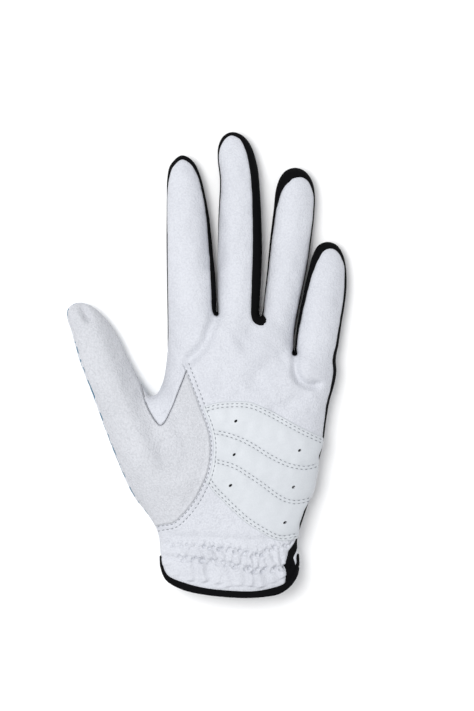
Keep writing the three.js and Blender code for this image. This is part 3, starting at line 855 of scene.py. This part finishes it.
def slab(name, x_range, y_range, height, thick, corner=0, edge=0.5):
    """A soft-edged strip that lies at height(x). corner rounds its far end and edge its rim."""
    xs = x_range[0] + (x_range[1] - x_range[0]) * (1 - np.cos(np.linspace(0, math.pi, 61))) / 2
    across = np.sin(np.linspace(-math.pi / 2, math.pi / 2, 25))
    half = (y_range[1] - y_range[0]) / 2
    middle = (y_range[1] + y_range[0]) / 2
    past = np.clip(xs - (x_range[1] - corner), 0, corner)
    reach = half - corner + np.sqrt(np.maximum(corner ** 2 - past ** 2, 0))
    gx = np.repeat(xs[:, None], len(across), 1)
    gy = middle + reach[:, None] * across[None, :]
    inset = np.minimum((1 - np.abs(across))[None, :] * np.maximum(reach, 0.1)[:, None], gx - x_range[0])
    inset = np.minimum(inset, x_range[1] - gx)
    top, bottom = cross_section(height, thick, gx, inset, edge)
    rows, columns = gx.shape
    index = np.arange(rows * columns).reshape(rows, columns)
    below = index.copy()
    inner = (rows - 2, columns - 2)
    below[1:-1, 1:-1] = rows * columns + np.arange(inner[0] * inner[1]).reshape(inner)
    points = np.vstack([
        np.stack([gx, gy, top], 2).reshape(-1, 3),
        np.stack([gx, gy, bottom], 2)[1:-1, 1:-1].reshape(-1, 3),
    ])
    faces = []
    for i in range(rows - 1):
        for j in range(columns - 1):
            faces.append((index[i, j], index[i + 1, j], index[i + 1, j + 1], index[i, j + 1]))
            faces.append((below[i, j], below[i, j + 1], below[i + 1, j + 1], below[i + 1, j]))
    return link(name, points, faces)


def highest(surfaces, x, y):
    """The point and normal where something dropped at x, y would land."""
    hits = [surface.ray_cast(Vector((x, y, 60)), Vector((0, 0, -1))) for surface in surfaces]
    hits = [hit for hit in hits if hit[0] is not None]
    return max(hits, key=lambda hit: hit[0].z) if hits else None


def stitches(name, lines, surfaces, pitch, length, radius):
    """A row of short threads along each line, lying on the surfaces below it. Each thread is a bent
    prism whose ends go into the leather."""
    sides, rings = 6, 5
    points, faces = [], []
    for line in lines:
        steps = np.hypot(*np.diff(line, axis=0).T)
        place = np.concatenate([[0], np.cumsum(steps)])
        count = int((place[-1] - length) // pitch)
        for k in range(count):
            start = (place[-1] - count * pitch) / 2 + (k + 0.5) * pitch - length / 2
            s = start + np.linspace(0, 1, rings) * length
            xs, ys = np.interp(s, place, line[:, 0]), np.interp(s, place, line[:, 1])
            hits = [highest(surfaces, x, y) for x, y in zip(xs, ys)]
            if not all(hits):
                continue
            up = hits[rings // 2][1]
            along = (hits[-1][0] - hits[0][0]).normalized()
            across = along.cross(up).normalized()
            base = len(points)
            for ring, hit in enumerate(hits):
                arch = math.sin(math.pi * ring / (rings - 1))
                size = radius * (0.45 + 0.55 * arch)
                centre = hit[0] + up * (radius * (1.1 * arch - 0.5))
                for side in range(sides):
                    a = math.tau * side / sides
                    points.append(centre + (across * math.cos(a) + up * math.sin(a)) * size)
            for ring in range(rings - 1):
                for side in range(sides):
                    a, b = base + ring * sides + side, base + ring * sides + (side + 1) % sides
                    faces.append((a, a + sides, b + sides, b))
            faces.append(tuple(base + side for side in range(sides)))
            faces.append(tuple(base + (rings - 1) * sides + side for side in reversed(range(sides))))
    return link(name, np.array(points), faces)


# ---- materials
def feed(tree, socket, value):
    """Links a socket to another one's value, or sets it to a plain value."""
    if isinstance(value, bpy.types.NodeSocket):
        tree.links.new(value, socket)
    else:
        socket.default_value = value


def node(tree, kind, settings=None, **inputs):
    made = tree.nodes.new("ShaderNode" + kind)
    for key, value in (settings or {}).items():
        setattr(made, key, value)
    for key, value in inputs.items():
        feed(tree, made.inputs[key], value)
    return made


def new_material(name, roughness):
    made = bpy.data.materials.new(name)
    made.use_nodes = True
    tree = made.node_tree
    shader = tree.nodes["Principled BSDF"]
    shader.inputs["Roughness"].default_value = roughness
    where = node(tree, "TexCoord").outputs["Object"]
    return made, tree, shader, where


def colour_ramp(tree, value, stops, constant=False):
    ramp_node = node(tree, "ValToRGB", Fac=value)
    ramp_node.color_ramp.interpolation = "CONSTANT" if constant else "LINEAR"
    elements = ramp_node.color_ramp.elements
    while len(elements) < len(stops):
        elements.new(0.5)
    for element, (position, colour) in zip(elements, stops):
        element.position = position
        element.color = (*colour, 1)
    return ramp_node.outputs["Color"]


def math_node(tree, operation, a, b):
    made = node(tree, "Math", {"operation": operation})
    feed(tree, made.inputs[0], a)
    feed(tree, made.inputs[1], b)
    return made.outputs[0]


def set_bump(tree, shader, height, depth_mm):
    made = node(tree, "Bump", Strength=1, Distance=depth_mm * MM, Height=height)
    tree.links.new(made.outputs["Normal"], shader.inputs["Normal"])


def leather(name, light, dark, roughness, grain_mm, depth_mm):
    """Fine pebbled leather with a slow change of tone."""
    made, tree, shader, where = new_material(name, roughness)
    scale = 1 / (grain_mm * MM)
    cells = node(tree, "TexVoronoi", {"feature": "SMOOTH_F1"}, Vector=where, Scale=scale)
    fine = node(tree, "TexNoise", Vector=where, Scale=2.2 * scale, Detail=3)
    slow = node(tree, "TexNoise", Vector=where, Scale=45, Detail=1)
    pebbles = math_node(tree, "MULTIPLY", cells.outputs["Distance"], -0.8)
    height = math_node(tree, "ADD", pebbles, math_node(tree, "MULTIPLY", fine.outputs["Fac"], 0.5))
    set_bump(tree, shader, height, depth_mm)
    tone = math_node(tree, "ADD", height, math_node(tree, "MULTIPLY", slow.outputs["Fac"], 0.5))
    colour = colour_ramp(tree, tone, [(-0, dark), (0.35, light)])
    tree.links.new(colour, shader.inputs["Base Color"])
    shader.inputs["Specular IOR Level"].default_value = 0.3
    return made


def fabric(name, colour, roughness, rib_mm, depth_mm, sheen=0):
    """A ribbed or knitted cloth."""
    made, tree, shader, where = new_material(name, roughness)
    scale = math.tau / (20 * rib_mm * MM)
    ribs = []
    for way in ("X", "Y"):
        waves = {"bands_direction": way}
        ribs.append(node(tree, "TexWave", waves, Vector=where, Scale=scale, Distortion=0.6))
    height = math_node(tree, "MULTIPLY", ribs[0].outputs["Fac"], ribs[1].outputs["Fac"])
    set_bump(tree, shader, height, depth_mm)
    bright = tuple(min(1, c * 1.6 + 0.001) for c in colour)
    tree.links.new(colour_ramp(tree, height, [(0, colour), (1, bright)]), shader.inputs["Base Color"])
    shader.inputs["Sheen Weight"].default_value = sheen
    shader.inputs["Specular IOR Level"].default_value = 0.06
    return made


PRINT_RIGHT = -20  # the print is on the thumb's side of this x


def printed(name, light, ink):
    """White leather with a plain broken-fleck print."""
    made = leather(name, light, tuple(c * 0.9 for c in light), 0.5, 0.9, 0.1)
    tree = made.node_tree
    shader = tree.nodes["Principled BSDF"]
    base = shader.inputs["Base Color"].links[0].from_socket
    where = node(tree, "TexCoord").outputs["Object"]
    place = node(tree, "Mapping", Vector=where, Rotation=(0, 0, 0.6), Scale=(420, 230, 230))
    flecks = node(tree, "TexNoise", Vector=place.outputs["Vector"], Scale=1, Detail=2)
    edge = node(tree, "SeparateXYZ", Vector=where)
    thumb_side = math_node(tree, "LESS_THAN", edge.outputs["X"], PRINT_RIGHT * MM)
    ink_here = math_node(tree, "MULTIPLY", flecks.outputs["Fac"], thumb_side)
    mask = colour_ramp(tree, ink_here, [(0, (0, 0, 0)), (0.53, (1, 1, 1))], constant=True)
    mix = node(tree, "Mix", {"data_type": "RGBA"})
    for number, value in ((0, mask), (6, base), (7, (*ink, 1))):
        feed(tree, mix.inputs[number], value)
    tree.links.new(mix.outputs[2], shader.inputs["Base Color"])
    return made


WHITE = (0.603, 0.618, 0.661)
SMOOTH = (0.58, 0.603, 0.63)
LOOKS = {
    "white_leather": (leather, WHITE, (0.538, 0.551, 0.594), 0.5, 0.75, 0.32),
    "smooth_leather": (leather, SMOOTH, (0.555, 0.578, 0.607), 0.52, 0.6, 0.05),
    "printed_back": (printed, WHITE, (0.006, 0.11, 0.2)),
    "black_stretch": (fabric, (0.003, 0.003, 0.0035), 0.9, 0.7, 0.12),
    "elastic": (fabric, (0.6, 0.6, 0.6), 0.8, 1.1, 0.3),
    "foam": (fabric, (0.5, 0.5, 0.48), 0.95, 0.5, 0.15),
    "loop": (fabric, (0.55, 0.56, 0.57), 0.95, 0.45, 0.3, 0.6),
    "hook": (fabric, (0.5, 0.51, 0.52), 0.6, 0.9, 0.35),
    "grey_thread": (fabric, (0.17, 0.18, 0.20), 0.7, 0.3, 0.05),
    "white_thread": (fabric, (0.62, 0.63, 0.66), 0.7, 0.3, 0.05),
    # the thumb's leather: its own coarser grain, and a tone a little darker than the white leather's,
    # which is painted shade
    "thumb_leather": (leather, (0.585, 0.595, 0.628), (0.505, 0.515, 0.545), 0.55, 0.8, 0.45),
    "seam_shadow": (fabric, (0.09, 0.09, 0.10), 0.9, 0.3, 0.05),
}
MATERIALS = {name: make(name, *settings) for name, (make, *settings) in LOOKS.items()}


def dress(obj, slot_name, replaced=(), look=None):
    """Gives a piece the material named by look, or else by its slot name, and hides the CAD nodes that it
    stands for.
    """
    obj.data.materials.append(MATERIALS[look or slot_name])
    if replaced:
        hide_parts(*replaced)
    return obj


# ---- making the glove
FINE_BELOW_Y = 4  # the palm has finer triangles than the fingers, for its relief


def make_table():
    """The skin as a table of points and what they are past, its triangles, and its normals."""
    points, quads = build_skin()
    tris = triangulate(points, quads)
    middle = points[tris].mean(1)
    on_palm = (middle[:, 1] < FINE_BELOW_Y) & (middle[:, 2] > waist(middle[:, 1]) - 1)
    before = len(points)
    points, tris = refine(points, tris, on_palm)
    points[before:] = settle(points[before:], 1)
    table = fill_table(points)
    for name in COLUMNS[COLUMN["front"]:]:
        table, tris = cut(table, tris, name)
    plain = table[:, :3]
    direction = normals_of(plain, tris)
    skin_points = plain + direction * relief(table)[:, None]
    return table, tris, direction, skin_points, normals_of(skin_points, tris)


table, tris, plain_normals, skin_points, skin_normals = make_table()
middles = {name: table[:, COLUMN[name]][tris].mean(1) for name in COLUMNS}
kept = middles["cuff"] > 0
is_front = middles["front"] > 0
is_back = middles["back"] < 0
is_side = ~is_front & ~is_back
on_binding = middles["binding"] < 0
on_limb = np.zeros(len(tris), bool)
for limb_name in LIMBS:
    on_limb |= middles[limb_name] > 0
on_hand = kept & ~on_limb & ~on_binding
on_patch = on_hand & is_front & (middles["patch"] > 0)
open_hole = on_patch & (middles["holes"] < 0)
in_slit = is_back & (middles["slit"] < 0)
slit_band = is_back & (middles["slit"] < SLIT_EDGE) & ~in_slit


# The gussets between the fingers: the x that each is between, and the y that it is above
WEBS = {
    "web_gusset_index_middle": (-10, 15, 5),
    "web_gusset_middle_ring": (15, 34, 5),
    "web_gusset_ring_little": (34, 52, 0),
}
THUMB_SIDE_TOP = 2
BINDING_THICK = 1.7


def skin_panel(name, where, thick=PANEL_THICK):
    return panel(name, skin_points, skin_normals, tris[where], thick)


def add_hand():
    x, y = middles["x"], middles["y"]
    gusset = (middles["gusset"] > 0) & is_front
    thumb_side = (middles["seam"] > 0) & is_front & ~gusset & (y < THUMB_SIDE_TOP)
    regions = {
        "palm_panel": ("white_leather", on_hand & is_front & ~gusset & ~thumb_side & ~open_hole),
        "thumb_base_panel": ("white_leather", on_hand & thumb_side),
        "crotch_gusset": ("white_leather", on_hand & gusset),
        "back_panel": ("printed_back", on_hand & is_back & ~in_slit & ~slit_band),
        "slit_binding": ("black_stretch", on_hand & slit_band),
    }
    side_left = on_hand & is_side
    for name, (left, right, bottom) in WEBS.items():
        where = (x > left) & (x < right) & (y > bottom)
        regions[name] = ("black_stretch", on_hand & is_side & where)
        side_left &= ~where
    index_side = side_left & (x < WEBS["web_gusset_index_middle"][0])
    regions["side_gusset"] = ("black_stretch", side_left & ~index_side)
    for name, (slot_name, where) in regions.items():
        # the thumb's base panel gets the thumb leather, whose darker tone is painted shade
        look = "thumb_leather" if name == "thumb_base_panel" else None
        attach(dress(skin_panel(name, where), slot_name, [name], look), "hand")
    if index_side.any():
        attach(dress(skin_panel("index_side_root", index_side), "black_stretch"), "hand")
    binding = skin_panel("cuff_binding", kept & on_binding & ~in_slit, BINDING_THICK)
    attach(dress(binding, "black_stretch", ["cuff_binding"]), "hand")


PATCH_GAP = 0.1  # between the leather and what lies on it or under it
PATCH_RISE = (0.75, 0.7)  # how high the patch's edge is and how wide its rounding
PAD_INSET = 2.5
PAD_BELOW_SEAM = 1.5


def add_patch():
    x, y = skin_points[:, 0], skin_points[:, 1]
    edge = np.minimum(table[:, COLUMN["patch"]], table[:, COLUMN["front"]])
    rise = PATCH_GAP + rounding(edge, PATCH_RISE) + quilting(x, y) * smoothstep(edge / 2)
    tri = tris[on_patch & ~open_hole]
    points = skin_points + skin_normals * rise[:, None]
    patch = panel("palm_patch", points, normals_of(points, tri), tri, 0.7)
    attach(dress(patch, "smooth_leather", ["palm_patch"]), "hand")
    inner = (middles["patch"] > PAD_INSET) & (middles["front"] > PAD_BELOW_SEAM)
    lining = skin_points - plain_normals * (PANEL_THICK + PATCH_GAP)
    pad = panel("palm_pad", lining, skin_normals, tris[on_patch & ~open_hole & inner], 0.9)
    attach(dress(pad, "foam", ["palm_pad"]), "hand")
    band = tris[on_hand & is_front & (middles["elastic"] > 0)]
    elastic = panel("wrist_elastic", lining, skin_normals, band, 0.6)
    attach(dress(elastic, "elastic", ["wrist_elastic"]), "hand")


def tree_of(obj):
    """A mesh's surface in millimetres, to drop points onto."""
    points = [v.co / MM for v in obj.data.vertices]
    return BVHTree.FromPolygons(points, [tuple(p.vertices) for p in obj.data.polygons])


def add_stitches():
    palm = tree_of(pieces["palm_panel"])
    patch = tree_of(pieces["palm_patch"])
    both = []
    for row in PATCH_ROWS:
        both += [offset(row, ROW_GAP), offset(row, -ROW_GAP)]
    seam = [offset(SEAM, -SEAM_ROW), offset(SEAM, SEAM_ROW - 0.35)]
    wrist = [spline(row, 6) for row in ELASTIC_ROWS]
    groups = {
        "patch_stitches": (both, [patch], 2.3, 1.3, 0.18, "grey_thread"),
        "seam_stitches": (seam, [palm, patch], 2.2, 1.35, 0.17, "grey_thread"),
        "wrist_stitches": (wrist, [palm], 2.7, 1.3, 0.15, "white_thread"),
    }
    for name, (lines, surfaces, pitch, length, radius, thread) in groups.items():
        obj = stitches(name, lines, surfaces, pitch, length, radius)
        obj.data.materials.append(MATERIALS[thread])
        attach(obj, "hand")
    # a near-black cord along the crotch V: painted shadow in its groove
    add_crotch_painted_shadow(palm)


def add_crotch_painted_shadow(palm):
    """A thin near-black cord laid along the V where the crotch gusset's edge goes under the thumb's
    leather: painted shadow of that edge's groove.
    """
    line = spline(GUSSET_V, 8)
    thumb = LIMBS["thumb"]
    on_thumb = (thumb.distance(line[:, 0], line[:, 1]) > thumb.start) & (line[:, 0] < CROTCH[0])
    around = ("crotch_gusset", "thumb_base_panel", "thumb_lower_front_skin")
    surfaces = [tree_of(pieces[name]) for name in around]
    # each part is a near-black cord that stands for the groove's shadow: painted shadow
    for name, part in (("crotch_painted_shadow", line[~on_thumb]), ("crotch_painted_shadow_on_thumb", line[on_thumb])):
        obj = stitches(name, [part], surfaces + [palm], 0.8, 0.95, 0.16)
        obj.data.materials.append(MATERIALS["seam_shadow"])
        if name == "crotch_painted_shadow":
            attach(obj, "hand")
        else:
            thumb.point(thumb.start)
            thumb.point(thumb.base_reach)
            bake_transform(obj)


def add_limb(name, limb):
    region = kept & (middles[name] > 0)
    tip = middles[f"{name}_tip"] > 0
    faces = {
        "front": (is_front, "white_leather"),
        "side": (is_side, "black_stretch"),
        "back": (is_back, "printed_back"),
    }
    base_bend = (limb.point(limb.start), limb.point(limb.base_reach))
    middle_bend = [limb.point(limb.knuckle + reach) for reach in (-limb.middle_reach, limb.middle_reach)]
    for part, where in (("lower", region & ~tip), ("tip", region & tip)):
        for face, (on_face, slot_name) in faces.items():
            chosen = where & on_face
            if not chosen.any() or (name == "thumb" and face == "side"):
                continue
            replaced = [f"{name}_{part}_{face}"]
            if face == "side" and part == "lower":
                replaced = [f"{name}_gusset_thumb_side", f"{name}_gusset_outer_side"]
            elif face == "side":
                replaced = [f"{name}_tip_gusset"]
            # the thumb's palm side gets the thumb leather, whose darker tone is painted shade
            look = "thumb_leather" if name == "thumb" and face == "front" else None
            obj = dress(skin_panel(f"{name}_{part}_{face}_skin", chosen), slot_name, replaced, look)
            if part == "lower":
                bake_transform(obj)
            else:
                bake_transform(obj)


def node_box(name):
    low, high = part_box(name)
    return np.array(low) / MM, np.array(high) / MM


TAB_BEND_X = 18  # where the tab reaches the surface that the glove lies on
TAB_RISE = 2.7  # from there up to its sewn end
TAB_CORNER = 9
TAB_THICK = 1.15
ROOT_THICK = 1.1
TAPE_EDGE = 0.35


def add_closure():
    low, high = node_box("closure_tab")
    slope = lambda x: 0.1 + TAB_RISE * smoothstep((TAB_BEND_X - x) / (TAB_BEND_X - low[0]))
    tab = slab("closure_tab", (low[0] + 0.1, high[0]), (low[1], high[1]), slope, TAB_THICK, TAB_CORNER)
    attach(dress(tab, "white_leather", ["closure_tab"]), "closure_flap")
    root_low, root_high = node_box("tab_root")
    ends = (root_low[0], low[0] + 0.05)
    level = lambda z: lambda x: z + 0 * x
    root = slab("tab_root", ends, (root_low[1], root_high[1]), level(root_low[2]), ROOT_THICK)
    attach(dress(root, "white_leather", ["tab_root"]), "hand")
    for name, body, slot_name in (("hook_tape", "closure_flap", "hook"), ("loop_tape", "hand", "loop")):
        (left, front, bottom), (right, back, top) = node_box(name)
        tape = slab(name, (left, right), (front, back), level(bottom), top - bottom, edge=TAPE_EDGE)
        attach(dress(tape, slot_name, [name]), body)


add_hand()
add_patch()
for limb_name, limb in LIMBS.items():
    add_limb(limb_name, limb)
add_stitches()
add_closure()

# ---- camera, floor and light
VIEW_HEIGHT = 341.3  # how much the picture takes in, at the height of the palm's widest line
VIEW_CENTRE = (14.4, 3.84)
WIDEST_Z = 10


def look_down():
    """The camera, straight above, with all that the picture takes in."""
    data = bpy.data.cameras.new("camera")
    data.lens = 85
    data.sensor_fit = "VERTICAL"
    data.sensor_height = 24
    obj = add_object("camera", data)
    distance = VIEW_HEIGHT * data.lens / data.sensor_height
    obj.location = (VIEW_CENTRE[0] * MM, VIEW_CENTRE[1] * MM, (distance + WIDEST_Z) * MM)
    bpy.context.scene.camera = obj


FLOOR_HALF = 1.5  # metres


def add_floor():
    corners = [(x * FLOOR_HALF, y * FLOOR_HALF, 0) for x, y in ((-1, -1), (1, -1), (1, 1), (-1, 1))]
    mesh = bpy.data.meshes.new("floor")
    mesh.from_pydata(corners, [], [(0, 1, 2, 3)])
    made, tree, shader, where = new_material("floor", 0.9)
    shade = node(tree, "TexNoise", Vector=where, Scale=3)
    tone = colour_ramp(tree, shade.outputs["Fac"], [(0, (0.98, 0.98, 0.98)), (1, (0.99, 0.99, 0.99))])
    tree.links.new(tone, shader.inputs["Base Color"])
    mesh.materials.append(made)
    add_object("floor", mesh)


def add_light(name, location, size, power):
    data = bpy.data.lights.new(name, "AREA")
    data.size = size
    data.energy = power
    obj = add_object(name, data)
    obj.location = location
    obj.rotation_euler = (-Vector(location)).to_track_quat("-Z", "Y").to_euler()


look_down()
add_floor()
add_light("key", (-0.36, 0.14, 1.1), 0.6, 10)
add_light("fill", (0.3, -0.3, 1.1), 1.2, 1.5)
world = bpy.data.worlds.new("world")
bpy.context.scene.world = world
world.use_nodes = True
sky = world.node_tree.nodes["Background"].inputs
sky["Color"].default_value = (0.97, 0.98, 1, 1)
sky["Strength"].default_value = 0.62
bpy.context.scene.view_settings.view_transform = "Standard"
